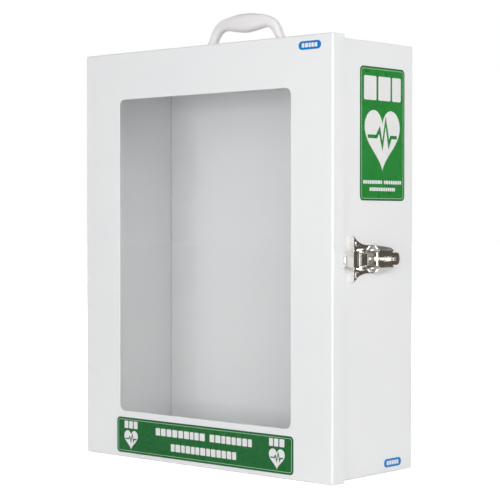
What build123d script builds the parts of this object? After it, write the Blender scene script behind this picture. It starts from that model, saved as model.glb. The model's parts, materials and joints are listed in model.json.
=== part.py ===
from build123d import *
import os

# A white sheet-steel wall cabinet for a defibrillator: a shallow case, a windowed door that laps over
# the case's front, a carrying handle on top and a draw latch with a padlock eye on the right side.
# Millimetres. X runs to the right, Y from the door towards the wall, Z up. While the pieces are made,
# Y = 0 is the door's front face and Z = 0 its lower edge; save() then moves them to the origin, which
# is the centre of the four wall holes, on the outer back face.

# ---- driving dimensions -------------------------------------------------------------------------
door_width = 336.0
door_height = 420.0
overall_depth = 128.0
sheet = 1.2
bend = 1.8                  # outer radius of the folds
door_flange = 17.5          # how far the door's rim reaches back over the case

case_side = 165.6           # half of the case's outer width
case_bottom = 2.2
case_top = 417.0
case_front = 5.0
front_lip = 13.0
rear_flange = 20.0
panel_gap = 0.7             # between the back panel's edges and the case's inner walls

bumper_x = 159.0
bumper_low = 32.0
bumper_high = 387.0
bumper_radius = 4.0
bumper_gap = 0.4            # to the closed door

window_half_width = 117.0
window_bottom = 48.4
window_top = 371.6
window_corner = 6.5
gasket_width = 8.0
gasket_thick = 0.8
pane_thick = 3.0
pane_overlap = 7.0          # how far the pane runs on behind the door, past the window's edge
clip_offset = 101.0         # height of the side clips above and below the window's middle
clip_half_width = 8.0
clip_gap = 0.6              # between the pane's edge and a clip's riser
stud_offset = 9.5           # from the pane's edge out to a clip's stud
stud_radius = 1.5
stud_length = 7.4

wall_hole_spacing_x = 220.0
wall_hole_spacing_z = 392.0
wall_hole_radius = 3.3

handle_y = 67.5
handle_foot_x = 54.0
handle_screw_radius = 2.5
# Along the right half of the handle, from the foot to the middle of the grip: X and Z of the middle of
# its section, the way it runs there in degrees from +X, its thickness, and its depth along Y.
handle_stations = [(53.6, 417.0, 118.0, 7.6, 10.0),
                   (47.6, 428.8, 118.0, 7.6, 10.0),
                   (42.2, 437.8, 124.0, 8.6, 10.2),
                   (36.2, 444.6, 142.0, 10.6, 11.0),
                   (26.5, 447.8, 168.0, 12.6, 13.0),
                   (14.0, 448.1, 178.5, 16.6, 15.2),
                   (0.0, 447.8, 180.0, 19.0, 16.0)]

hinge_heights = {"upper": 314.0, "lower": 106.0}
hinge_x = -169.6
hinge_y = 20.8
hinge_length = 50.0
knuckle_radius = 3.2
hinge_pin_radius = 1.5
running_clearance = 0.05
knuckle_gap = 0.35

latch_z = 209.5
latch_plate = 1.2
lever_pivot = (36.5, 7.2)   # Y, and the height above the case's side
hook_pivot = (47.5, 4.4)
lever_pivot_radius = 2.0
hook_pin_radius = 1.4
cheek_inside = 8.0
arm_inside = 6.4
lever_plate_height = 8.6
strap_half_width = 5.7
hook_eye_radius = 3.0
nose_half_width = 7.3

front_label = (-120.6, 120.6, 5.0, 41.7)     # low X, high X, low Z, high Z
side_label = (43.7, 113.6, 265.2, 392.7)     # low Y, high Y, low Z, high Z
front_badge = (127.0, 154.0, 406.0, 414.0)
side_badge = (82.0, 109.0, 7.5, 15.5)
sticker = 0.25

# ---- places worked out from them ----------------------------------------------------------------
case_height = case_top - case_bottom
case_middle = (case_top + case_bottom) / 2
wall_frame = Location((0, -overall_depth, -case_middle))
panel_front = overall_depth - 2 * sheet
pane_front = sheet + gasket_thick
pane_back = pane_front + pane_thick
door_side = door_width / 2


def save(name, *solids):
    """Write one node: one solid, or a group of identical ones."""
    placed = [solid.moved(wall_frame) for solid in solids]
    shape = placed[0] if len(placed) == 1 else Compound(children=placed)
    export_step(shape, f"parts/{name}.step")


def block(low_x, high_x, low_y, high_y, low_z, high_z):
    """A box between two corners."""
    centre = Pos((low_x + high_x) / 2, (low_y + high_y) / 2, (low_z + high_z) / 2)
    return centre * Box(high_x - low_x, high_y - low_y, high_z - low_z)


def rod(start, end, radius):
    """A round bar from one point to another."""
    axis = Vector(*end) - Vector(*start)
    return extrude(Plane(origin=start, z_dir=axis) * Circle(radius), axis.length)


def facing_front(low_x, high_x, low_z, high_z, corner, y, thick):
    """A rounded rectangle that faces the front, from y back through its thickness."""
    middle = ((low_x + high_x) / 2, y + thick, (low_z + high_z) / 2)
    place = Plane(origin=middle, x_dir=(1, 0, 0), z_dir=(0, -1, 0))
    return extrude(place * RectangleRounded(high_x - low_x, high_z - low_z, corner), thick)


def facing_side(low_y, high_y, low_z, high_z, corner, x, thick):
    """A rounded rectangle that faces the right side, from x out through its thickness."""
    middle = (x, (low_y + high_y) / 2, (low_z + high_z) / 2)
    place = Plane(origin=middle, x_dir=(0, 1, 0), z_dir=(1, 0, 0))
    return extrude(place * RectangleRounded(high_y - low_y, high_z - low_z, corner), thick)


def mirrored(solid, plane):
    return solid + solid.mirror(plane)


def rivet(place, grip, head_radius=3.2, shank_radius=2.0, head=1.5, tail=1.4):
    """A rivet on place, whose +Z is the way the head faces; grip is the thickness that it holds."""
    shank = Pos(0, 0, -grip / 2) * Cylinder(shank_radius, grip)
    dome = Pos(0, 0, head / 2) * Cylinder(head_radius, head)
    dome = fillet(dome.edges().sort_by(Axis.Z)[-1], head * 0.8)
    upset = Pos(0, 0, -grip - tail / 2) * Cylinder(head_radius - 0.5, tail)
    upset = fillet(upset.edges().sort_by(Axis.Z)[0], tail * 0.5)
    return place * (dome + shank + upset)


# ---- case ---------------------------------------------------------------------------------------
def wall_hole_cutters():
    cutters = []
    for sx in (-1, 1):
        for sz in (-1, 1):
            x = sx * wall_hole_spacing_x / 2
            z = case_middle + sz * wall_hole_spacing_z / 2
            cutters.append(rod((x, panel_front - 2, z), (x, overall_depth + 2, z), wall_hole_radius))
    return cutters


def hinge_rivet_places():
    """Y and Z of the three rivets of each hinge, as a triangle."""
    places = []
    for z in hinge_heights.values():
        places += [(40.0, z), (30.5, z - 17.0), (30.5, z + 17.0)]
    return places


def latch_rivet_places():
    """Y and Z of the latch's rivets: one in each wing and one under the lever's tip."""
    return [(37.0, latch_z - 14.7), (37.0, latch_z + 14.7), (85.6, latch_z)]


def make_case():
    outside = block(-case_side, case_side, case_front, overall_depth, case_bottom, case_top)
    outside = fillet(outside.edges(), bend)
    inner_side = case_side - sheet
    inside = block(-inner_side, inner_side, case_front + sheet, overall_depth - sheet,
                   case_bottom + sheet, case_top - sheet)
    inside = fillet(inside.edges(), bend - sheet)
    mouth = facing_front(-case_side + front_lip, case_side - front_lip, case_bottom + front_lip,
                         case_top - front_lip, 2.0, case_front - 1, 4.0)
    rear = facing_front(-case_side + rear_flange, case_side - rear_flange, case_bottom + rear_flange,
                        case_top - rear_flange, 2.0, overall_depth - 3, 4.0)
    case = outside - inside - mouth - rear
    for cutter in wall_hole_cutters():
        case -= cutter
    for x in (-handle_foot_x, handle_foot_x):
        case -= rod((x, handle_y, case_top - 4), (x, handle_y, case_top + 2), handle_screw_radius)
    for y, z in hinge_rivet_places():
        case -= rod((-case_side - 2, y, z), (-case_side + 3, y, z), 2.0)
    for y, z in latch_rivet_places():
        case -= rod((case_side - 3, y, z), (case_side + 2, y, z), 2.0)
    return case


def make_back_panel():
    side = case_side - sheet - panel_gap
    panel = block(-side, side, panel_front, panel_front + sheet,
                  case_bottom + sheet + panel_gap, case_top - sheet - panel_gap)
    for cutter in wall_hole_cutters():
        panel -= cutter
    return panel


def make_bumpers():
    """Four rubber buttons on the case's front lip, just clear of the closed door."""
    bumpers = []
    for x in (-bumper_x, bumper_x):
        for z in (bumper_low, bumper_high):
            button = rod((x, case_front, z), (x, sheet + bumper_gap, z), bumper_radius)
            bumpers.append(fillet(button.edges().sort_by(Axis.Y)[0], 0.8))
    return bumpers


# ---- carrying handle ----------------------------------------------------------------------------
def handle_section(x, z, way, thick, depth):
    """The handle's section at one place; way is where the handle runs there, in degrees from +X."""
    along = Vector(1, 0, 0).rotate(Axis.Y, -way)
    place = Plane(origin=(x, handle_y, z), x_dir=(0, 1, 0), z_dir=along)
    return place * RectangleRounded(depth, thick, 0.42 * min(depth, thick))


def make_handle():
    """Moulded handle: slanted arms, a grip that swells downwards, and two feet that it is screwed by."""
    right = [handle_section(*station) for station in handle_stations]
    left = [handle_section(-x, z, 360 - way, thick, depth)
            for x, z, way, thick, depth in reversed(handle_stations[:-1])]
    grip = loft(right + left) - block(-80, 80, handle_y - 20, handle_y + 20, case_top - 20, case_top)
    for x in (-handle_foot_x, handle_foot_x):
        foot = block(x - 10.5, x + 10.5, handle_y - 8, handle_y + 8, case_top, case_top + 6.5)
        foot = fillet(foot.edges().filter_by(Axis.Z), 6.0)
        foot = fillet(foot.edges().sort_by(Axis.Z)[-8:], 1.5)
        grip += foot
    for x in (-handle_foot_x, handle_foot_x):
        grip -= rod((x, handle_y, case_top - 1), (x, handle_y, case_top + 5.5), handle_screw_radius)
    return grip


def make_handle_fixings():
    washers = []
    screws = []
    under = case_top - sheet
    for x in (-handle_foot_x, handle_foot_x):
        washer = rod((x, handle_y, under - 1.2), (x, handle_y, under), 6.0)
        washers.append(washer - rod((x, handle_y, under - 2), (x, handle_y, under + 1), 2.5))
        shank = rod((x, handle_y, under - 1.2), (x, handle_y, case_top + 5.5), handle_screw_radius)
        head = rod((x, handle_y, under - 4.2), (x, handle_y, under - 1.2), 4.6)
        head = fillet(head.edges().sort_by(Axis.Z)[0], 1.4)
        for width, length in ((1.2, 4.6), (4.6, 1.2)):
            head -= block(x - width / 2, x + width / 2, handle_y - length / 2, handle_y + length / 2,
                          under - 5, under - 2.6)
        screws.append(shank + head)
    return screws, washers


# ---- door ---------------------------------------------------------------------------------------
def pane_clip_places():
    """Middle of the pane's edge and the way outwards, for each of the six clips."""
    half_width = window_half_width + pane_overlap
    middle = (window_bottom + window_top) / 2
    half_height = (window_top - window_bottom) / 2 + pane_overlap
    places = []
    for z in (middle - clip_offset, middle + clip_offset):
        places += [((-half_width, z), 180), ((half_width, z), 0)]
    places += [((0, middle - half_height), 270), ((0, middle + half_height), 90)]
    return places


def on_pane_edge(place, turn):
    """Local X runs outwards from the pane's edge, in the door's plane, and local Z backwards."""
    x, z = place
    return Location(Plane(origin=(x, 0, z), x_dir=(1, 0, 0), z_dir=(0, 1, 0))) * Rot(0, 0, -turn)


def make_door():
    outside = block(-door_side, door_side, 0, door_flange, 0, door_height)
    outside = fillet(outside.edges().filter_by(Axis.Y) + outside.faces().sort_by(Axis.Y)[0].edges(), bend)
    inner_side = door_side - sheet
    inside = block(-inner_side, inner_side, sheet, door_flange + 1, sheet, door_height - sheet)
    inside = fillet(inside.edges().filter_by(Axis.Y) + inside.faces().sort_by(Axis.Y)[0].edges(),
                    bend - sheet)
    door = outside - inside
    window = facing_front(-window_half_width, window_half_width, window_bottom, window_top,
                          window_corner, -1, 4)
    door -= window
    rim = [edge for edge in door.edges()
           if abs(edge.center().Y) < 0.01 and abs(edge.center().X) < window_half_width + 1
           and window_bottom - 1 < edge.center().Z < window_top + 1]
    door = fillet(rim, 0.35)
    for place, turn in pane_clip_places():
        stud = Cylinder(stud_radius, stud_length, align=(Align.CENTER, Align.CENTER, Align.MIN))
        stud = Pos(stud_offset, 0, sheet / 2) * stud
        door += on_pane_edge(place, turn) * stud
    return door


def make_gasket():
    edge = 2.0
    outer = facing_front(-window_half_width - edge - gasket_width, window_half_width + edge + gasket_width,
                         window_bottom - edge - gasket_width, window_top + edge + gasket_width,
                         3.0, sheet, gasket_thick)
    hole = facing_front(-window_half_width - edge, window_half_width + edge, window_bottom - edge,
                        window_top + edge, window_corner, sheet - 1, gasket_thick + 2)
    pane_limit = facing_front(-window_half_width - pane_overlap, window_half_width + pane_overlap,
                              window_bottom - pane_overlap, window_top + pane_overlap, 3.0,
                              sheet - 1, gasket_thick + 2)
    return (outer & pane_limit) - hole


def make_pane():
    pane = facing_front(-window_half_width - pane_overlap, window_half_width + pane_overlap,
                        window_bottom - pane_overlap, window_top + pane_overlap, 3.0,
                        pane_front, pane_thick)
    return pane


def make_pane_clips():
    """Six Z-shaped clips on the door's welded studs, each held by a nut, that press the pane forward."""
    clips = []
    nuts = []
    half = clip_half_width
    riser_back = clip_gap + sheet
    stud_hole = Pos(stud_offset, 0, 0) * Cylinder(stud_radius, 12)
    for place, turn in pane_clip_places():
        foot = block(clip_gap, stud_offset + 5.0, -half, half, sheet, 2 * sheet)
        riser = block(clip_gap, riser_back, -half, half, sheet, pane_back + sheet)
        toe = block(-4.0, riser_back, -half, half, pane_back, pane_back + sheet)
        clips.append(on_pane_edge(place, turn) * (foot + riser + toe - stud_hole))
        nut = Pos(stud_offset, 0, 2 * sheet) * extrude(RegularPolygon(3.1, 6), 2.4)
        nuts.append(on_pane_edge(place, turn) * (nut - stud_hole))
    return clips, nuts


# ---- hinges -------------------------------------------------------------------------------------
def hinge_leaf_bounds(z):
    """The three knuckles, from the bottom: the case's, the door's and the case's again."""
    low = z - hinge_length / 2
    high = z + hinge_length / 2
    third = hinge_length / 3
    return (low, low + third), (low + third + knuckle_gap, high - third - knuckle_gap), (high - third, high)


def knuckle(low, high, bore):
    barrel = rod((hinge_x, hinge_y, low), (hinge_x, hinge_y, high), knuckle_radius)
    return barrel - rod((hinge_x, hinge_y, low - 1), (hinge_x, hinge_y, high + 1), bore)


def make_case_leaf(z):
    bottom, _, top = hinge_leaf_bounds(z)
    plate = block(-case_side - sheet, -case_side, 25.5, 47.0, bottom[0], top[1])
    plate = fillet(plate.edges().filter_by(Axis.X).group_by(Axis.Y)[-1], 4.0)
    leaf = plate
    for low, high in (bottom, top):
        with BuildSketch(Plane.XY.offset(low)) as web:
            with BuildLine():
                Polyline((-case_side, hinge_y), (-case_side, 27.0), (-case_side - sheet, 27.0),
                         (hinge_x, hinge_y + knuckle_radius), (hinge_x, hinge_y), close=True)
            make_face()
        leaf += extrude(web.sketch, high - low)
        leaf -= rod((hinge_x, hinge_y, low - 1), (hinge_x, hinge_y, high + 1), knuckle_radius - 0.5)
        leaf += knuckle(low, high, hinge_pin_radius)
    for y, rivet_z in hinge_rivet_places():
        if abs(rivet_z - z) < hinge_length / 2:
            leaf -= rod((-case_side - 3, y, rivet_z), (-case_side + 1, y, rivet_z), 2.0)
    return leaf


def make_door_leaf(z):
    bottom, middle, top = hinge_leaf_bounds(z)
    plate = block(-door_side - sheet, -door_side, 3.0, 16.0, bottom[0], top[1])
    plate = fillet(plate.edges().filter_by(Axis.X).group_by(Axis.Y)[0], 3.0)
    tongue = block(-door_side - sheet, -door_side, 15.0, hinge_y, middle[0], middle[1])
    leaf = plate + tongue - rod((hinge_x, hinge_y, middle[0] - 1), (hinge_x, hinge_y, middle[1] + 1),
                                knuckle_radius - 0.5)
    return leaf + knuckle(middle[0], middle[1], hinge_pin_radius + running_clearance)


def make_hinge_pin(z):
    bottom, _, top = hinge_leaf_bounds(z)
    pin = rod((hinge_x, hinge_y, bottom[0]), (hinge_x, hinge_y, top[1]), hinge_pin_radius)
    head = rod((hinge_x, hinge_y, top[1]), (hinge_x, hinge_y, top[1] + 1.4), 2.6)
    return pin + fillet(head.edges().sort_by(Axis.Z)[-1], 0.9)


def make_hinge_rivets():
    rivets = []
    for y, z in hinge_rivet_places():
        place = Location(Plane(origin=(-case_side - sheet, y, z), z_dir=(-1, 0, 0)))
        rivets.append(rivet(place, 2 * sheet, head=1.2))
    return rivets


# ---- draw latch ---------------------------------------------------------------------------------
# Each latch sketch is drawn on the case's right side. side_on has Y and the height above that side,
# and is extruded across the latch; flat_on has Y and Z, and is extruded outwards.
side_on = Plane(origin=(case_side, 0, latch_z), x_dir=(0, 1, 0), z_dir=(0, 0, -1))
flat_on = Plane(origin=(case_side, 0, latch_z), x_dir=(0, 1, 0), z_dir=(1, 0, 0))
middle_of_latch = Plane(origin=(0, 0, latch_z), z_dir=(0, 0, 1))


def across(sketch, inside, outside):
    """A pair of plates either side of the latch's middle, from a side_on sketch."""
    plate = extrude(side_on.offset(-outside) * sketch, outside - inside)
    return mirrored(plate, middle_of_latch)


def whole_width(sketch, half_width):
    return extrude(side_on * sketch, half_width, both=True)


def cross_hole(centre, radius, half_width=30.0):
    return whole_width(Pos(*centre) * Circle(radius), half_width)


def outline(points, corner=0.0):
    """A closed outline with all its corners rounded by the same radius."""
    with BuildSketch() as drawing:
        with BuildLine():
            Polyline(*points, close=True)
        make_face()
        if corner:
            fillet(drawing.vertices(), corner)
    return drawing.sketch


def make_latch_base():
    """T-shaped plate with a turned-up front edge, scalloped wings and two cheeks for the lever."""
    with BuildSketch() as drawing:
        with BuildLine():
            Line((28.0, 0), (28.0, 22.2))
            Line((28.0, 22.2), (33.0, 22.2))
            ThreePointArc((33.0, 22.2), (40.5, 16.6), (52.0, 13.5))
            Line((52.0, 13.5), (62.0, 13.5))
            ThreePointArc((62.0, 13.5), (64.8, 12.3), (66.0, 9.5))
            Line((66.0, 9.5), (85.0, 7.5))
            ThreePointArc((85.0, 7.5), (90.0, 5.2), (92.0, 0))
            Line((92.0, 0), (28.0, 0))
        make_face()
        mirror(about=Plane.XZ)
    base = extrude(flat_on * drawing.sketch, latch_plate)
    lip_place = Plane(origin=(case_side, 28.0, latch_z), x_dir=(0, 0, 1), z_dir=(0, 1, 0))
    lip = extrude(lip_place * (Pos(0, 1.6) * RectangleRounded(44.4, 7.2, 2.4)), latch_plate)
    base += lip & block(case_side, case_side + 10, 20, 40, latch_z - 30, latch_z + 30)
    cheek = outline([(31.0, -2.0), (31.0, 6.5), (33.5, 10.6), (39.5, 10.6), (57.0, 6.2), (57.0, -2.0)], 1.4)
    cheeks = across(cheek, cheek_inside, cheek_inside + latch_plate)
    base += cheeks & block(case_side, case_side + 20, 20, 90, latch_z - 30, latch_z + 30)
    base -= cross_hole(lever_pivot, lever_pivot_radius)
    for y, z in latch_rivet_places():
        base -= rod((case_side - 1, y, z), (case_side + 4, y, z), 2.0)
    return base


def make_latch_rivets():
    rivets = []
    for y, z in latch_rivet_places():
        place = Location(Plane(origin=(case_side + latch_plate, y, z), z_dir=(1, 0, 0)))
        rivets.append(rivet(place, latch_plate + sheet))
    return rivets


def make_lever_pivots():
    """Two stub rivets, one in each cheek, that the lever turns on."""
    inner_end = arm_inside - 0.2
    outer_end = cheek_inside + latch_plate
    stub = across(Pos(*lever_pivot) * Circle(lever_pivot_radius), inner_end, outer_end)
    head = across(Pos(*lever_pivot) * Circle(3.2), outer_end, outer_end + 1.3)
    rims = [head.edges().sort_by(Axis.Z)[0], head.edges().sort_by(Axis.Z)[-1]]
    return (stub + fillet(rims, 0.9)).solids()


def make_staple():
    """Padlock eye: a flat post that stands through the lever's slot."""
    eye_y = 74.0
    eye_height = 13.2
    eye_outer = 5.7
    post = Pos(eye_y, (eye_height + latch_plate) / 2) * Rectangle(2 * eye_outer, eye_height - latch_plate)
    staple = whole_width(post + Pos(eye_y, eye_height) * Circle(eye_outer), 1.5)
    staple = fillet(staple.edges().filter_by(GeomType.CIRCLE), 0.5)
    staple -= cross_hole((eye_y, eye_height), 3.0)
    foot = facing_side(66.0, 81.5, latch_z - 4, latch_z + 4, 2.5, case_side + latch_plate, 1.2)
    return staple + foot


def make_lever():
    """Lever: two arms on the pivots, a slotted plate with flared skirts, and a round finger tab."""
    pivot_y, pivot_height = lever_pivot
    pin_y, pin_height = hook_pivot
    arm = Pos(pivot_y, pivot_height) * Circle(3.2) + Pos(pin_y, pin_height) * Circle(2.7)
    arm += outline([(pivot_y - 2.0, pivot_height - 2.4), (pivot_y, pivot_height + 3.2), (58.0, 9.8),
                    (66.0, 9.8), (66.0, 5.0), (pin_y + 1.0, pin_height - 2.5)])
    lever = across(arm, arm_inside, arm_inside + latch_plate)
    low = lever_plate_height
    high = low + latch_plate
    plate_front = 59.0
    plate_back = 82.5
    plate = outline([(plate_front, low), (plate_front, high), (plate_back, high), (plate_back, low)])
    rolled_edge = Pos(plate_front + 0.4, high - 0.9) * Circle(1.3)
    lever += whole_width(plate + rolled_edge, 7.6)
    skirt = outline([(6.6, low), (7.2, high), (8.2, high), (12.9, 4.8), (12.0, 4.0)])
    skirt_plane = Plane(origin=(case_side, 62.0, latch_z), x_dir=(0, 0, 1), z_dir=(0, 1, 0))
    skirts = mirrored(extrude(skirt_plane * skirt, 24.0), middle_of_latch)
    with BuildSketch() as taper:
        with BuildLine():
            Polyline((60.0, -13.5), (60.0, 13.5), (84.0, 10.6), (84.0, -10.6), close=True)
        make_face()
        fillet(taper.vertices(), 2.0)
    lever += skirts & extrude(flat_on * taper.sketch, 20)
    tab_radius = 6.0
    tab_y = 87.9
    tab = outline([(plate_back - 1.0, low), (plate_back - 1.0, high), (tab_y + 3.5, high + 0.4),
                   (tab_y + tab_radius + 1, high - 0.6), (tab_y + tab_radius + 1, low - 0.6),
                   (tab_y + 3.5, low + 0.4)])
    tab_plan = Pos(tab_y, 0) * Circle(tab_radius) + Pos(tab_y - 4.4, 0) * Rectangle(8.8, 2 * tab_radius)
    lever += whole_width(tab, 8.0) & extrude(flat_on * tab_plan, 20)
    slot = Pos(73.9, 0) * RectangleRounded(14.0, 4.8, 2.2)
    lever -= extrude(flat_on * slot, 20)
    lever -= cross_hole(lever_pivot, lever_pivot_radius + running_clearance)
    lever -= cross_hole(hook_pivot, hook_pin_radius)
    return lever


def make_hook():
    """Draw hook: a curled nose that slopes down over the keeper, a ribbed strap, and an eye round the
    hook pin."""
    pin_y, pin_height = hook_pivot
    nose_front = 14.0
    inner_curl = 1.0
    leg_bottom = 3.9
    nose_under = 5.4
    strap_under = 6.9
    slope_end = 24.4
    strap_end = 30.4
    step = 0.9
    rib_y = 35.8
    rib_radius = 2.2
    curl_y = nose_front + sheet + inner_curl
    curl_height = nose_under - inner_curl
    curl = Pos(curl_y, curl_height) * (Circle(inner_curl + sheet) - Circle(inner_curl))
    curl &= Pos(curl_y - 2.5, curl_height + 2.5) * Rectangle(5.0, 5.0)
    leg_middle = (curl_height + leg_bottom) / 2
    leg = Pos(nose_front + sheet / 2, leg_middle) * Rectangle(sheet, curl_height - leg_bottom)
    wide = curl + leg
    wide += outline([(curl_y, nose_under), (curl_y, nose_under + sheet), (slope_end, strap_under + sheet),
                     (strap_end, strap_under + sheet), (strap_end, strap_under), (slope_end, strap_under)])
    top = strap_under + sheet - step
    narrow = outline([(strap_end - 0.6, strap_under), (strap_end - 0.6, strap_under + sheet),
                      (strap_end, strap_under + sheet), (strap_end + 2.0, top), (pin_y, top),
                      (pin_y, top - 2 * sheet), (strap_end + 2.0, top - sheet)])
    narrow += Pos(rib_y, top - 1.2) * Circle(rib_radius) & Pos(rib_y, top + 1.0) * Rectangle(6.0, 3.0)
    narrow += Pos(pin_y, pin_height) * Circle(hook_eye_radius)
    with BuildSketch() as nose_plan:
        with BuildLine():
            ThreePointArc((19.0, nose_half_width), (nose_front - 0.1, 0), (19.0, -nose_half_width))
            Polyline((19.0, -nose_half_width), (strap_end, -nose_half_width), (strap_end, nose_half_width),
                     (19.0, nose_half_width))
        make_face()
        fillet(nose_plan.vertices().sort_by(Axis.X)[-2:], 1.6)
    hook = whole_width(wide, nose_half_width) & extrude(flat_on * nose_plan.sketch, 20)
    hook += whole_width(narrow, strap_half_width)
    hook -= cross_hole(hook_pivot, hook_pin_radius + running_clearance)
    return hook


def make_hook_pin():
    return whole_width(Pos(*hook_pivot) * Circle(hook_pin_radius), arm_inside + latch_plate)


def make_keeper():
    """Strike plate welded to the door's rim, with the lip that the hook's nose catches."""
    lip_front = 15.9
    plate_back = 17.1
    plate = facing_side(1.8, plate_back, latch_z - 7.9, latch_z + 7.9, 1.6, door_side, 1.0)
    lip = block(door_side + 0.5, case_side + 4.9, lip_front, plate_back, latch_z - 6.0, latch_z + 6.0)
    lip = fillet(lip.edges().filter_by(Axis.Y).group_by(Axis.X)[-1], 1.2)
    return plate + lip


# ---- stickers -----------------------------------------------------------------------------------
def make_front_sticker(bounds, corner):
    return facing_front(*bounds, corner, -sticker, sticker)


def make_side_sticker(bounds, corner):
    return facing_side(*bounds, corner, case_side, sticker)


# ---- write every node ---------------------------------------------------------------------------
def main():
    os.makedirs("parts", exist_ok=True)
    save("case_shell", make_case())
    save("back_panel", make_back_panel())
    save("door_bumpers", *make_bumpers())
    save("top_handle", make_handle())
    screws, washers = make_handle_fixings()
    save("handle_screws", *screws)
    save("handle_washers", *washers)
    save("door_panel", make_door())
    save("window_gasket", make_gasket())
    save("window_pane", make_pane())
    clips, nuts = make_pane_clips()
    save("pane_clips", *clips)
    save("pane_nuts", *nuts)
    for name, z in hinge_heights.items():
        save(f"hinge_case_leaf_{name}", make_case_leaf(z))
        save(f"hinge_door_leaf_{name}", make_door_leaf(z))
        save(f"hinge_pin_{name}", make_hinge_pin(z))
    save("hinge_rivets", *make_hinge_rivets())
    save("latch_base", make_latch_base())
    save("latch_rivets", *make_latch_rivets())
    save("lever_pivots", *make_lever_pivots())
    save("padlock_staple", make_staple())
    save("latch_lever", make_lever())
    save("hook_pin", make_hook_pin())
    save("draw_hook", make_hook())
    save("door_keeper", make_keeper())
    save("front_label", make_front_sticker(front_label, 4.0))
    save("side_label", make_side_sticker(side_label, 4.5))
    save("front_badge", make_front_sticker(front_badge, 3.9))
    save("side_badge", make_side_sticker(side_badge, 3.9))


main()
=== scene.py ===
import json
import math
import random
from collections import namedtuple

import bmesh
import bpy
from mathutils import Euler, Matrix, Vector


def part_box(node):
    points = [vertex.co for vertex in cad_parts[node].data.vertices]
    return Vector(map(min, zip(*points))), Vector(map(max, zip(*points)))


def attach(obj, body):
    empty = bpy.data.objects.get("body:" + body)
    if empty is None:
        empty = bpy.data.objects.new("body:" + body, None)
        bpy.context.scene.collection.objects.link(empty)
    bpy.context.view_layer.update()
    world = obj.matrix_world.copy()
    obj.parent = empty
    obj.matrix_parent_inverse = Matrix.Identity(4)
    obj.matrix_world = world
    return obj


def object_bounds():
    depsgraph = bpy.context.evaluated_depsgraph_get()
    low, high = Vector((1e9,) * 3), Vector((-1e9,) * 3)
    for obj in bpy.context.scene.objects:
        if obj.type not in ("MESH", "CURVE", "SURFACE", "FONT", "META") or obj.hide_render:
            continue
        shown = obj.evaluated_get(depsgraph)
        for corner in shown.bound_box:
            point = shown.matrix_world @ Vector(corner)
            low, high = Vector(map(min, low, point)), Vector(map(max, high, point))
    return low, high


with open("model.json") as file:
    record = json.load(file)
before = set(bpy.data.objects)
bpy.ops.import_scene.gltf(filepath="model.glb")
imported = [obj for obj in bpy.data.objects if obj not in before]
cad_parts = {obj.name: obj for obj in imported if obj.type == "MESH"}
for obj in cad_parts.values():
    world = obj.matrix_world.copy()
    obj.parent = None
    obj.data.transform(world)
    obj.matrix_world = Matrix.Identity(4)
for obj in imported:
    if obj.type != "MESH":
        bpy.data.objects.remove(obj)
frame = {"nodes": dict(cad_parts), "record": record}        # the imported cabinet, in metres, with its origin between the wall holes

MM = 0.001
Ink = namedtuple("Ink", ("material", "slot"))
cad_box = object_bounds()

# ---- studio, in metres ----------------------------------------------------------------------------
CENTRE = (0, 0, 0)
CAMERA_PLACE = (1.1041, -1.2856, 0.0366)
CAMERA_YAW = 41.9            # degrees to the left of straight at the door
CAMERA_DROP = 1.05           # degrees below the horizon
CAMERA_LENS = 115.9          # mm
CAMERA_SENSOR = 36.0         # mm
FLOOR_HALF_WIDTH = 12.0
FLOOR_CELLS = 8
FLOOR_GLOW = 0.95            # as of a light table, so that the floor meets the white background
WORLD_HORIZON = (0.182, 0.187, 0.192)
WORLD_TOP = (0.161, 0.167, 0.172)
LATCH_Y = -0.07              # what the mirror cards face, on the right side

# ---- the values that most of a noise texture keeps between ----------------------------------------
NOISE_LOW = 0.3
NOISE_HIGH = 0.7

# ---- what is printed on the signs, in mm from each sign's middle ----------------------------------
INK = 0.10                   # how far printing stands out of a sign
INK_OVER = 0.16              # printing on top of printing
HIGHLIGHT_LINE_INSET = 1.9             # the pale line inside a sign's edge: a painted highlight that stands in for the light on the sign's raised border
HIGHLIGHT_LINE_WIDTH = 0.55
EDGE_WIDTH = 0.9             # the darker rim of a sign
ON_SIGN = (0.0, INK)         # the heights that a layer of printing lies between
ON_PRINT = (INK, INK_OVER)
ON_RIM = (0.0, INK / 2)
ARC_STEPS = 8                # segments in a quarter circle
HEART_STEPS = 96
SMALLEST_CORNER = 0.4
MITRE_LIMIT = 0.35           # keeps a sharp corner of a stroke from running out to a spike
WORD_GAP = 0.7               # in letters
LETTER_WIDTHS = (0.82, 1.18)
FRONT_HEART = 100.0          # from the middle of the front sign to each small heart
FRONT_CORNER = 4.0
SIDE_CORNER = 4.5


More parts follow.
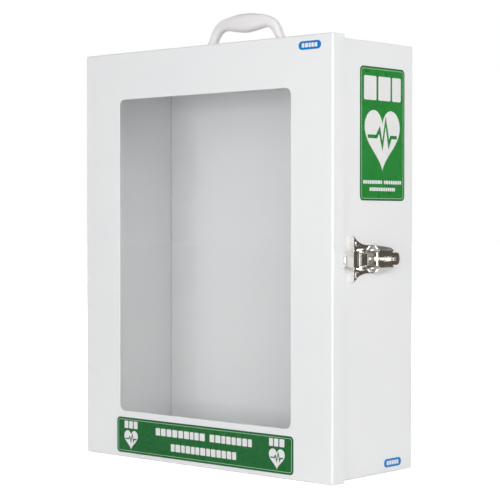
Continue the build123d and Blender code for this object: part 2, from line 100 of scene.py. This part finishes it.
# ---- node trees -----------------------------------------------------------------------------------
class Finish:
    """A material whose Principled shader is fed by small chains of procedural nodes."""

    def __init__(self, name, **constants):
        self.material = bpy.data.materials.new(name)
        self.material.use_nodes = True
        self.tree = self.material.node_tree
        self.shader = self.tree.nodes["Principled BSDF"]
        for socket, value in constants.items():
            self.shader.inputs[socket.replace("_", " ")].default_value = value
        self.place = self.add("ShaderNodeTexCoord").outputs["Object"]
        self.normal = None

    def add(self, kind, **settings):
        node = self.tree.nodes.new(kind)
        for key, value in settings.items():
            setattr(node, key, value)
        return node

    def link(self, source, target):
        self.tree.links.new(source, target)

    def noise(self, size, detail=3.0, stretch=(1, 1, 1)):
        """Noise whose features are about size metres across, stretched along an axis."""
        mapping = self.add("ShaderNodeMapping")
        mapping.inputs["Scale"].default_value = [1 / s for s in stretch]
        self.link(self.place, mapping.inputs["Vector"])
        node = self.add("ShaderNodeTexNoise")
        node.inputs["Scale"].default_value = 1 / size
        node.inputs["Detail"].default_value = detail
        self.link(mapping.outputs["Vector"], node.inputs["Vector"])
        return node.outputs["Fac"]

    def ramp(self, factor, low, high, start=NOISE_LOW, end=NOISE_HIGH):
        """A factor turned into a colour between two, or into a number where they are numbers."""
        if isinstance(low, float):
            node = self.add("ShaderNodeMapRange")
            node.inputs["From Min"].default_value = start
            node.inputs["From Max"].default_value = end
            node.inputs["To Min"].default_value = low
            node.inputs["To Max"].default_value = high
            self.link(factor, node.inputs["Value"])
            return node.outputs["Result"]
        node = self.add("ShaderNodeValToRGB")
        node.color_ramp.elements[0].position = start
        node.color_ramp.elements[0].color = (*low, 1)
        node.color_ramp.elements[1].position = end
        node.color_ramp.elements[1].color = (*high, 1)
        self.link(factor, node.inputs["Fac"])
        return node.outputs["Color"]

    def colour(self, factor, low, high):
        self.link(self.ramp(factor, low, high), self.shader.inputs["Base Color"])

    def roughness(self, factor, low, high):
        self.link(self.ramp(factor, float(low), float(high)), self.shader.inputs["Roughness"])

    def round_edges(self, radius):
        node = self.add("ShaderNodeBevel", samples=6)
        node.inputs["Radius"].default_value = radius
        self.normal = node.outputs["Normal"]
        self.link(self.normal, self.shader.inputs["Normal"])

    def bump(self, factor, height, strength):
        """Relief of a height in metres, over what relief there is already."""
        node = self.add("ShaderNodeBump")
        node.inputs["Distance"].default_value = height
        node.inputs["Strength"].default_value = strength
        self.link(factor, node.inputs["Height"])
        if self.normal is not None:
            self.link(self.normal, node.inputs["Normal"])
        self.normal = node.outputs["Normal"]
        self.link(self.normal, self.shader.inputs["Normal"])


def powder_coat():
    """White polyester powder: a faint orange peel with fine grain, and a slightly uneven film."""
    finish = Finish("powder_coat")
    finish.colour(finish.noise(0.16), (0.850, 0.858, 0.862), (0.872, 0.876, 0.874))
    finish.roughness(finish.noise(0.03), 0.36, 0.44)
    finish.bump(finish.noise(0.0028, 2.0), 0.00007, 0.5)
    finish.bump(finish.noise(0.0007, 1.0), 0.00002, 0.4)
    return finish.material


def handle_plastic():
    """Warm white moulding, spark-eroded to a satin grain."""
    finish = Finish("handle_plastic", Specular_IOR_Level=0.45)
    finish.colour(finish.noise(0.05), (0.880, 0.850, 0.862), (0.905, 0.878, 0.888))
    finish.roughness(finish.noise(0.008), 0.38, 0.50)
    finish.bump(finish.noise(0.0009, 2.0), 0.00005, 0.6)
    return finish.material


def clear_pane():
    """Clear acrylic, with the very slight waviness of extruded sheet."""
    finish = Finish("clear_pane", Transmission_Weight=1.0, IOR=1.49)
    finish.colour(finish.noise(0.2), (0.982, 0.992, 0.998), (0.988, 0.996, 1.0))
    finish.roughness(finish.noise(0.05), 0.0, 0.02)
    finish.bump(finish.noise(0.06, 1.0), 0.00004, 0.4)
    return finish.material


def bright_nickel():
    """Tumbled and nickel-plated pressings: polished, with soft edges, fine scuffs and duller patches."""
    finish = Finish("bright_nickel", Metallic=1.0)
    finish.colour(finish.noise(0.012), (0.80, 0.77, 0.72), (0.92, 0.91, 0.88))
    finish.roughness(finish.noise(0.004, 4.0, (1, 5, 1)), 0.07, 0.20)
    finish.round_edges(0.00035)
    finish.bump(finish.noise(0.0016, 3.0, (1, 4, 1)), 0.00003, 0.35)
    return finish.material


def zinc_steel():
    """Bright zinc plating on drawn steel, with the drawing lines left in it."""
    finish = Finish("zinc_steel", Metallic=1.0)
    finish.colour(finish.noise(0.006), (0.52, 0.53, 0.55), (0.70, 0.71, 0.72))
    finish.roughness(finish.noise(0.0012, 3.0, (1, 1, 8)), 0.25, 0.42)
    finish.bump(finish.noise(0.0008, 2.0, (1, 1, 10)), 0.00002, 0.5)
    return finish.material


def matt_rubber(name, tone):
    finish = Finish(name)
    finish.colour(finish.noise(0.004), [tone * 0.8] * 3, [tone * 1.25] * 3)
    finish.roughness(finish.noise(0.002), 0.72, 0.88)
    finish.bump(finish.noise(0.0006, 3.0), 0.0001, 0.6)
    return finish.material


def vinyl(name, low, high):
    """Gloss sign vinyl under a clear film, not quite flat on the steel."""
    finish = Finish(name, Specular_IOR_Level=0.22)
    finish.colour(finish.noise(0.03), low, high)
    finish.roughness(finish.noise(0.01), 0.24, 0.34)
    finish.bump(finish.noise(0.02, 1.0), 0.00004, 0.25)
    return finish.material


def print_ink(name, low, high):
    """Screen-printed ink, slightly mottled."""
    finish = Finish(name)
    finish.colour(finish.noise(0.0025), low, high)
    finish.roughness(finish.noise(0.003), 0.34, 0.46)
    finish.bump(finish.noise(0.0007, 2.0), 0.00002, 0.5)
    return finish.material


# ---- printed pieces -------------------------------------------------------------------------------
def rounded_box(low_u, high_u, low_v, high_v, corner):
    """Outline of a rectangle with round corners, counter-clockwise."""
    points = []
    for middle_u, middle_v, start in ((high_u - corner, high_v - corner, 0),
                                      (low_u + corner, high_v - corner, 90),
                                      (low_u + corner, low_v + corner, 180),
                                      (high_u - corner, low_v + corner, 270)):
        for step in range(ARC_STEPS + 1):
            turn = math.radians(start + 90 * step / ARC_STEPS)
            points.append((middle_u + corner * math.cos(turn), middle_v + corner * math.sin(turn)))
    return points


def heart(middle_u, middle_v, width, height):
    """Outline of a plain heart, from the usual cosine sum, fitted to a width and a height."""
    turns = [2 * math.pi * step / HEART_STEPS for step in range(HEART_STEPS)]
    us = [math.sin(t) ** 3 for t in turns]
    vs = [13 * math.cos(t) - 5 * math.cos(2 * t) - 2 * math.cos(3 * t) - math.cos(4 * t) for t in turns]
    scale = height / (max(vs) - min(vs))
    low = min(vs)
    points = [(middle_u + u * width / 2, middle_v - height / 2 + (v - low) * scale) for u, v in zip(us, vs)]
    return points[::-1]


def stroke(points, width):
    """Outline of a line of one width along some points, with mitred corners."""
    left = []
    right = []
    for index, point in enumerate(points):
        before = points[max(index - 1, 0)]
        after = points[min(index + 1, len(points) - 1)]
        here = Vector(point)
        arriving = (here - Vector(before)).normalized() if index else (Vector(after) - here).normalized()
        leaving = (Vector(after) - here).normalized() if index < len(points) - 1 else arriving
        along = (arriving + leaving).normalized()
        side = Vector((-along.y, along.x))
        reach = width / 2 / max(side.dot(Vector((-arriving.y, arriving.x))), MITRE_LIMIT)
        left.append(here + side * reach)
        right.append(here - side * reach)
    return [(p.x, p.y) for p in right + left[::-1]]


def pulse(middle_u, middle_v, width, height, thick):
    """A heartbeat trace."""
    shape = ((-0.50, 0.00), (-0.20, 0.00), (-0.10, 0.22), (0.00, -0.30), (0.11, 0.50), (0.22, -0.24),
             (0.29, 0.00), (0.50, 0.00))
    return stroke([(middle_u + u * width, middle_v + v * height) for u, v in shape], thick)


def word_blocks(low_u, high_u, low_v, high_v, words, fill, corner, seed):
    """A line of text as plain blocks, which say nothing: one for each letter of words this long."""
    rng = random.Random(seed)
    widths = []
    for index, letters in enumerate(words):
        if index:
            widths.append((WORD_GAP, False))
        widths += [(rng.uniform(*LETTER_WIDTHS), True) for _ in range(letters)]
    scale = (high_u - low_u) / sum(width for width, _ in widths)
    blocks = []
    start = low_u
    for width, inked in widths:
        if inked:
            spare = width * scale * (1 - fill) / 2
            blocks.append(rounded_box(start + spare, start + width * scale - spare, low_v, high_v, corner))
        start += width * scale
    return blocks


class Face:
    """The flat front of a sign: its middle, the two directions that its printing is drawn in, and its
    size in mm."""

    def __init__(self, node, across, outward):
        low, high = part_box(node)
        self.across = Vector(across)
        self.up = Vector((0, 0, 1))
        self.outward = Vector(outward)
        middle = (low + high) / 2
        half = (high - low) / 2
        self.middle = middle + self.outward * abs(half.dot(self.outward))
        self.half_width = abs(half.dot(self.across)) / MM
        self.half_height = half.z / MM

    def point(self, u, v, height):
        return self.middle + (self.across * u + self.up * v + self.outward * height) * MM


def add_object(name, bm, material):
    """A new object in the scene, with one material."""
    mesh = bpy.data.meshes.new(name)
    bm.to_mesh(mesh)
    bm.free()
    mesh.materials.append(material)
    thing = bpy.data.objects.new(name, mesh)
    bpy.context.scene.collection.objects.link(thing)
    return thing


def finish_piece(name, bm, material, body):
    bmesh.ops.recalc_face_normals(bm, faces=bm.faces)
    piece = add_object(name, bm, material)
    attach(piece, body)


def print_shapes(name, face, outlines, layer, ink, body):
    """Closed flat plates, one for each outline, in a layer over a sign."""
    low, high = layer
    bm = bmesh.new()
    for outline in outlines:
        base = [bm.verts.new(face.point(u, v, low)) for u, v in outline]
        top = [bm.verts.new(face.point(u, v, high)) for u, v in outline]
        caps = [bm.faces.new(top), bm.faces.new(base[::-1])]
        for index, start in enumerate(base):
            after = (index + 1) % len(base)
            bm.faces.new((start, base[after], top[after], top[index]))
        bmesh.ops.triangulate(bm, faces=caps)
    finish_piece(name, bm, ink.material, body)


def print_ring(name, face, inset, width, corner, layer, ink, body):
    """A closed band that follows a sign's edge."""
    low, high = layer
    bm = bmesh.new()
    loops = []
    for distance, height in ((inset, low), (inset, high), (inset + width, high), (inset + width, low)):
        half_u = face.half_width - distance
        half_v = face.half_height - distance
        outline = rounded_box(-half_u, half_u, -half_v, half_v, max(corner - distance, SMALLEST_CORNER))
        loops.append([bm.verts.new(face.point(u, v, height)) for u, v in outline])
    for index, loop in enumerate(loops):
        other = loops[(index + 1) % len(loops)]
        for start in range(len(loop)):
            after = (start + 1) % len(loop)
            bm.faces.new((loop[start], loop[after], other[after], other[start]))
    finish_piece(name, bm, ink.material, body)


def print_rim_and_painted_highlight(name, face, corner, inks, body):
    """A pale line painted inside a sign's edge as the highlight of its raised border, and the darker rim of a
    sign.
    """
    # the pale ring is painted highlight, not light falling on a raised edge
    print_ring(f"{name}_line", face, HIGHLIGHT_LINE_INSET, HIGHLIGHT_LINE_WIDTH, corner, ON_SIGN, inks["highlight_line"], body)
    print_ring(f"{name}_edge", face, 0.0, EDGE_WIDTH, corner, ON_RIM, inks["dark"], body)


def print_front_sign(face, inks, body):
    """Two small hearts with a row of blocks over each, and two longer rows between them."""
    rows = []
    hearts = []
    pulses = []
    for side in (-FRONT_HEART, FRONT_HEART):
        rows += word_blocks(side - 10.3, side + 10.3, 7.2, 14.8, words=(3,), fill=0.80, corner=0.7, seed=side)
        hearts.append(heart(side, -4.9, width=20.0, height=19.8))
        pulses.append(pulse(side, -3.6, width=16.5, height=10.0, thick=1.25))
    rows += word_blocks(-64.4, 68.6, 3.5, 11.0, words=(9, 8), fill=0.82, corner=0.9, seed=5)
    rows += word_blocks(-42.6, 48.0, -11.0, -3.5, words=(13,), fill=0.82, corner=0.9, seed=8)
    print_shapes("front_label_words", face, rows, ON_SIGN, inks["white"], body)
    print_shapes("front_label_hearts", face, hearts, ON_SIGN, inks["white"], body)
    print_shapes("front_label_pulses", face, pulses, ON_PRINT, inks["front_green"], body)
    print_rim_and_painted_highlight("front_label", face, FRONT_CORNER, inks, body)


def print_side_sign(face, inks, body):
    """Three big blocks, a large heart with a pulse line, and two small rows of blocks."""
    rows = word_blocks(-30.6, 30.0, 32.0, 55.0, words=(3,), fill=0.86, corner=1.6, seed=2)
    rows += word_blocks(-30.6, 30.2, -47.8, -44.4, words=(9, 8), fill=0.78, corner=0.4, seed=3)
    rows += word_blocks(-20.6, 20.0, -54.6, -51.2, words=(13,), fill=0.78, corner=0.4, seed=4)
    hearts = [heart(-0.4, -6.6, width=55.2, height=58.4)]
    pulses = [pulse(-0.4, -2.6, width=46.0, height=30.0, thick=3.3)]
    print_shapes("side_label_words", face, rows, ON_SIGN, inks["white"], body)
    print_shapes("side_label_heart", face, hearts, ON_SIGN, inks["white"], body)
    print_shapes("side_label_pulse", face, pulses, ON_PRINT, inks["side_green"], body)
    print_rim_and_painted_highlight("side_label", face, SIDE_CORNER, inks, body)


def print_badge(name, face, inks, body):
    """A plain bar of blocks on a blue pill."""
    row = word_blocks(-10.0, 9.6, -2.0, 2.0, words=(5,), fill=0.8, corner=0.5, seed=name)
    print_shapes(f"{name}_blocks", face, row, ON_SIGN, inks["white"], body)


# ---- studio ---------------------------------------------------------------------------------------
def make_camera():
    data = bpy.data.cameras.new("camera")
    data.sensor_width = CAMERA_SENSOR
    data.lens = CAMERA_LENS
    camera = bpy.data.objects.new("camera", data)
    camera.location = CAMERA_PLACE
    camera.rotation_euler = Euler((math.radians(90 - CAMERA_DROP), 0, math.radians(CAMERA_YAW)))
    bpy.context.scene.collection.objects.link(camera)
    bpy.context.scene.camera = camera


def make_floor(height):
    bm = bmesh.new()
    bmesh.ops.create_grid(bm, x_segments=FLOOR_CELLS, y_segments=FLOOR_CELLS, size=FLOOR_HALF_WIDTH)
    finish = Finish("floor_paper")
    finish.colour(finish.noise(0.8), (0.90, 0.90, 0.90), (0.92, 0.92, 0.92))
    finish.roughness(finish.noise(0.05), 0.75, 0.85)
    finish.shader.inputs["Emission Color"].default_value = (1, 1, 1, 1)
    seen = finish.add("ShaderNodeLightPath")
    glow = finish.ramp(seen.outputs["Is Camera Ray"], 0.0, FLOOR_GLOW, 0.0, 1.0)
    finish.link(glow, finish.shader.inputs["Emission Strength"])
    floor = add_object("floor", bm, finish.material)
    floor.location.z = height


def make_world():
    """Soft light from all round, brighter towards the horizon, before a plain white background."""
    bpy.context.scene.view_settings.view_transform = "Standard"
    world = bpy.data.worlds.new("studio")
    world.use_nodes = True
    bpy.context.scene.world = world
    tree = world.node_tree
    light = tree.nodes["Background"]
    place = tree.nodes.new("ShaderNodeTexCoord")
    split = tree.nodes.new("ShaderNodeSeparateXYZ")
    ramp = tree.nodes.new("ShaderNodeValToRGB")
    ramp.color_ramp.elements[0].position = 0.5
    ramp.color_ramp.elements[0].color = (*WORLD_HORIZON, 1)
    ramp.color_ramp.elements[1].position = 1.0
    ramp.color_ramp.elements[1].color = (*WORLD_TOP, 1)
    shift = tree.nodes.new("ShaderNodeMath")        # from between -1 and 1 to between 0 and 1
    shift.operation = "MULTIPLY_ADD"
    shift.inputs[1].default_value = 0.5
    shift.inputs[2].default_value = 0.5
    tree.links.new(place.outputs["Generated"], split.inputs["Vector"])
    tree.links.new(split.outputs["Z"], shift.inputs[0])
    tree.links.new(shift.outputs["Value"], ramp.inputs["Fac"])
    tree.links.new(ramp.outputs["Color"], light.inputs["Color"])
    seen = tree.nodes.new("ShaderNodeBackground")
    seen.inputs["Color"].default_value = (1, 1, 1, 1)
    choice = tree.nodes.new("ShaderNodeMixShader")
    path = tree.nodes.new("ShaderNodeLightPath")
    tree.links.new(path.outputs["Is Camera Ray"], choice.inputs["Fac"])
    tree.links.new(light.outputs["Background"], choice.inputs[1])
    tree.links.new(seen.outputs["Background"], choice.inputs[2])
    tree.links.new(choice.outputs["Shader"], tree.nodes["World Output"].inputs["Surface"])


def softbox(name, place, aim, size, watts, colour=(1, 1, 1)):
    data = bpy.data.lights.new(name, "AREA")
    data.shape = "RECTANGLE"
    data.size, data.size_y = size
    data.energy = watts
    data.color = colour
    light = bpy.data.objects.new(name, data)
    light.location = place
    light.rotation_euler = (Vector(aim) - Vector(place)).to_track_quat("-Z", "Y").to_euler()
    bpy.context.scene.collection.objects.link(light)
    return light


def mirror_card(name, place, aim, width, height, tone):
    """A studio card that only mirrors see, so that bright metal has something to reflect."""
    bm = bmesh.new()
    bmesh.ops.create_grid(bm, x_segments=1, y_segments=1, size=0.5)
    material = bpy.data.materials.new(name)
    material.use_nodes = True
    shader = material.node_tree.nodes["Principled BSDF"]
    shader.inputs["Base Color"].default_value = (0, 0, 0, 1)
    shader.inputs["Specular IOR Level"].default_value = 0.0
    shader.inputs["Emission Color"].default_value = (*tone, 1)
    shader.inputs["Emission Strength"].default_value = 1.0
    card = add_object(name, bm, material)
    card.location = place
    card.rotation_euler = (Vector(aim) - Vector(place)).to_track_quat("Z", "Y").to_euler()
    card.scale = (width, height, 1)
    card.visible_camera = False
    card.visible_diffuse = False
    card.visible_shadow = False
    card.visible_transmission = False
    card.visible_volume_scatter = False


def make_lights():
    """Soft lights round the cabinet, and two cards for the metal of the latch."""
    softbox("side_light", (2.4, -0.4, 1.0), (0.1, 0, 0), size=(1.4, 1.4), watts=26.8,
            colour=(1.0, 0.99, 0.975))
    softbox("front_light", (0.6, -2.6, 0.1), CENTRE, size=(1.4, 0.6), watts=19.0)
    softbox("near_light", (1.7, -1.9, 0.3), CENTRE, size=(1.0, 1.0), watts=8.1)
    softbox("high_light", (1.5, -1.7, 1.3), CENTRE, size=(1.0, 1.0), watts=5.7)
    softbox("back_light", (-1.0, 2.4, 1.4), CENTRE, size=(1.6, 1.6), watts=26.0)
    softbox("hinge_light", (-2.4, 0.2, 1.0), CENTRE, size=(1.4, 1.4), watts=12.0)
    left_light = softbox("left_light", (-0.2, -2.7, 0.9), CENTRE, size=(0.8, 0.8), watts=6.4)
    left_light.visible_glossy = False        # or it shows as a bright square in the window
    left_light.visible_transmission = False
    latch = (cad_box[1].x, LATCH_Y, 0.0)
    mirror_card("dark_card", (0.80, 0.60, 0.0), latch, width=0.35, height=0.8, tone=(0.10, 0.085, 0.065))
    mirror_card("white_card", (1.12, 0.20, 0.0), latch, width=0.50, height=0.8, tone=(1.1, 1.1, 1.1))


# ---- put it together ------------------------------------------------------------------------------
def paint_nodes(finishes):
    for part in frame["record"]["subparts"]:
        node = frame["nodes"][part["node"]]
        material = finishes[part["material_slot"]]
        if part["node"] == "side_label":
            material = finishes["side_green"]        # a lighter green than the front sign's
        if not node.material_slots:
            node.data.materials.append(material)
        for holder in node.material_slots:
            holder.material = material


def main():
    finishes = {
        "powder_coat": powder_coat(),
        "handle_plastic": handle_plastic(),
        "clear_pane": clear_pane(),
        "bright_nickel": bright_nickel(),
        "zinc_steel": zinc_steel(),
        "bumper_rubber": matt_rubber("bumper_rubber", 0.030),
        "foam_tape": matt_rubber("foam_tape", 0.045),
        "green_vinyl": vinyl("green_vinyl", (0.012, 0.132, 0.030), (0.016, 0.148, 0.036)),
        "side_green": vinyl("side_green", (0.020, 0.222, 0.036), (0.026, 0.246, 0.044)),
        "blue_vinyl": vinyl("blue_vinyl", (0.0, 0.195, 0.560), (0.002, 0.220, 0.620)),
    }
    inks = {
        "white": Ink(print_ink("white_print", (0.80, 0.79, 0.79), (0.86, 0.85, 0.85)), "white_print"),
        # painted highlight: pale green ink for the line that stands in for the light on a sign's raised
        # border
        "highlight_line": Ink(print_ink("painted_highlight_print", (0.30, 0.56, 0.33), (0.38, 0.64, 0.40)), "white_print"),
        "dark": Ink(print_ink("dark_print", (0.006, 0.060, 0.020), (0.010, 0.080, 0.028)), "green_vinyl"),
        "front_green": Ink(finishes["green_vinyl"], "green_vinyl"),
        "side_green": Ink(finishes["side_green"], "green_vinyl"),
    }
    paint_nodes(finishes)
    pane = frame["nodes"]["window_pane"]
    pane.visible_shadow = False          # light goes straight through, as it does through clear sheet
    pane.visible_diffuse = False         # and none of it is counted again by way of the glass

    front = {"across": (1, 0, 0), "outward": (0, -1, 0)}
    right = {"across": (0, 1, 0), "outward": (1, 0, 0)}
    print_front_sign(Face("front_label", **front), inks, "door")
    print_side_sign(Face("side_label", **right), inks, "cabinet")
    print_badge("front_badge", Face("front_badge", **front), inks, "door")
    print_badge("side_badge", Face("side_badge", **right), inks, "cabinet")

    make_camera()
    make_floor(cad_box[0].z)
    make_world()
    make_lights()


main()
